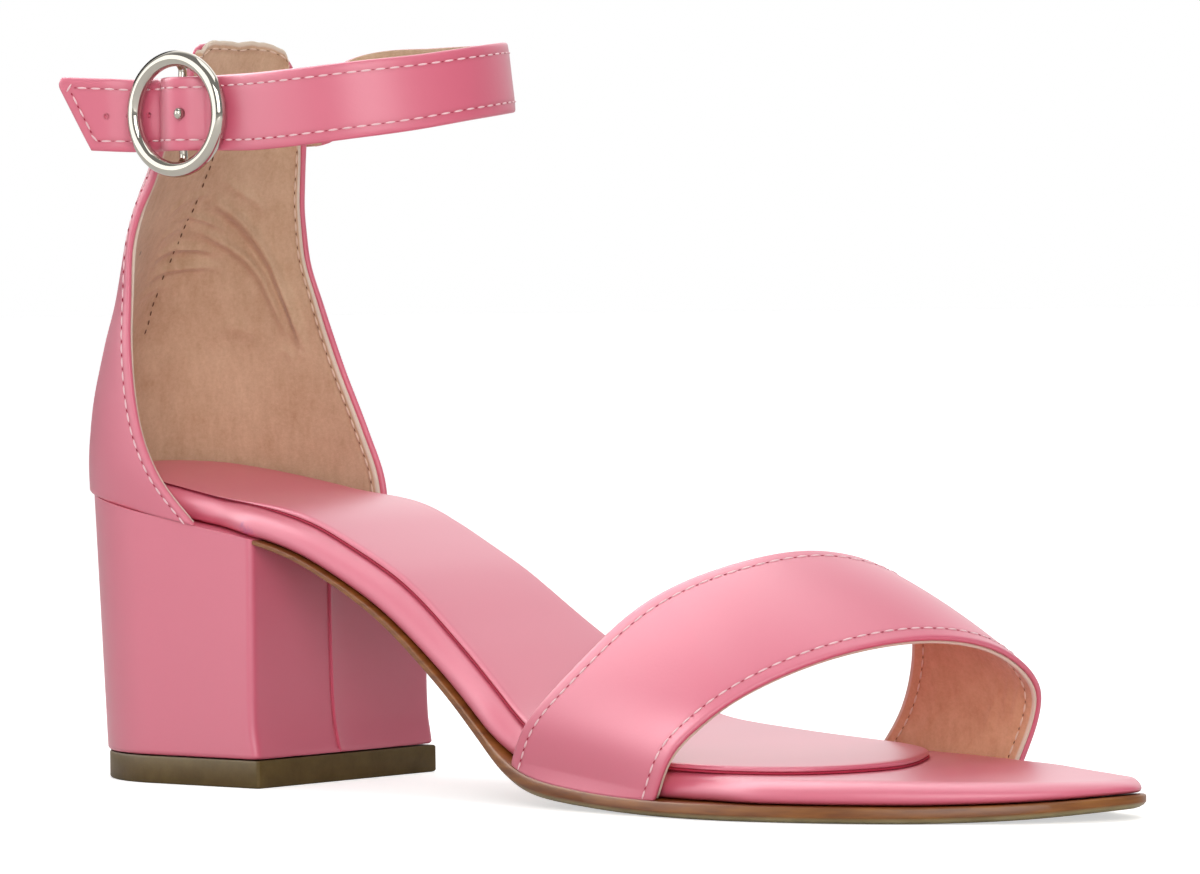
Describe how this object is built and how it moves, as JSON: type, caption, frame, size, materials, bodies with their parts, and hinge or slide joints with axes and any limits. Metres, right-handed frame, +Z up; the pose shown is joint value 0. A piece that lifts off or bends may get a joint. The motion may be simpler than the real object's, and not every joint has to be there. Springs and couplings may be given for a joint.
{
  "type": "heeled sandal",
  "caption": "Right block-heeled sandal with a closed back, a wide open-toed band over the forefoot and a buckled ankle strap.",
  "frame": {"origin": "centre of the underside of the heel's top piece, on the floor", "axes": "+X towards the toe, +Y towards the inner side of the foot, +Z up"},
  "size_m": [0.2366, 0.0734, 0.142],
  "materials": {
    "outsole": "brown sole unit with a smooth, slightly shiny edge",
    "insole": "pink leather wrapped round a footbed, satin",
    "sock_pad": "pink padded sock, satin",
    "heel_block": "pink leather wrapped round a block, satin",
    "heel_top_piece": "olive brown moulded rubber, satin",
    "counter": "pink leather lined with tan suede, satin",
    "vamp_band": "pink leather lined with tan suede, satin",
    "ankle_strap": "pink leather with a stitched edge, satin",
    "buckle": "polished nickel plate",
    "buckle_strap": "pink leather, satin"
  },
  "bodies": {
    "root": {"outsole": "outsole", "insole": "insole", "sock_pad": "sock_pad", "heel_block": "heel_block", "heel_top_piece": "heel_top_piece", "counter": "counter", "vamp_band": "vamp_band", "ankle_strap": "ankle_strap", "buckle": "buckle", "buckle_strap": "buckle_strap"}
  },
  "joints": []
}
